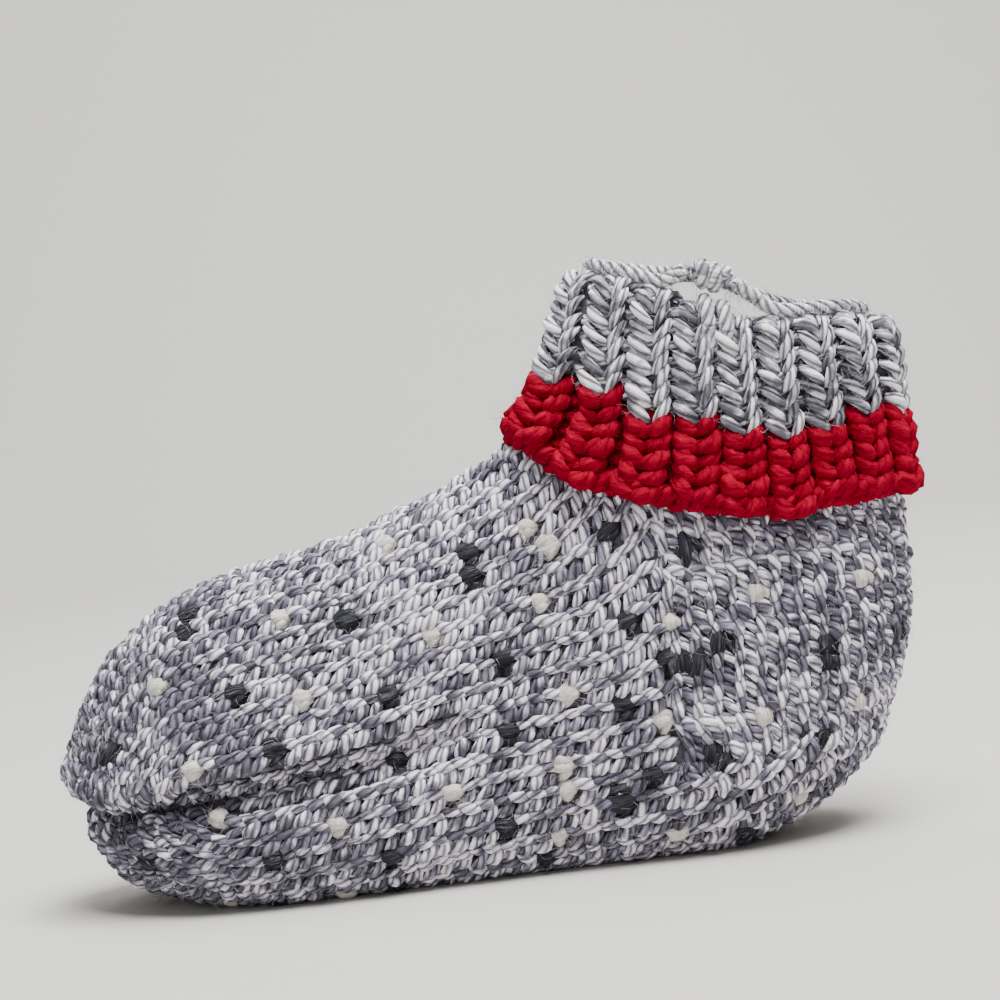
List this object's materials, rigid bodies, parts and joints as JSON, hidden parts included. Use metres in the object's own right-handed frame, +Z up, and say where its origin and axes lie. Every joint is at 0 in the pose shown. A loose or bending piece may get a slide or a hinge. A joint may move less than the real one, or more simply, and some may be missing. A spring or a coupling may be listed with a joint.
{
  "type": "bootie slipper",
  "caption": "Hand-knitted bootie slipper with a folded ribbed cuff, a red border and a slack open collar, standing on its sole.",
  "frame": {"origin": "centre of the slipper's box on the floor plane", "axes": "+X towards the toe, +Y to the slipper's left, +Z up from the sole"},
  "size_m": [0.2268, 0.061, 0.1542],
  "materials": {
    "marl_yarn": "matt twisted wool, white and blue-grey marl",
    "rib_yarn": "matt twisted wool, greyer marl in 1x1 rib",
    "red_yarn": "matt twisted wool, deep red",
    "tie_yarn": "matt twisted wool yarn, grey marl"
  },
  "bodies": {
    "root": {"knitted_foot": "marl_yarn", "rib_cuff": "rib_yarn", "red_border": "red_yarn", "tie_knot": "tie_yarn", "tie_strap_back": "tie_yarn", "tie_strap_front": "tie_yarn", "tie_loop_front": "tie_yarn", "tie_loop_back": "tie_yarn", "tie_end_front": "tie_yarn", "tie_end_back": "tie_yarn"}
  },
  "joints": []
}
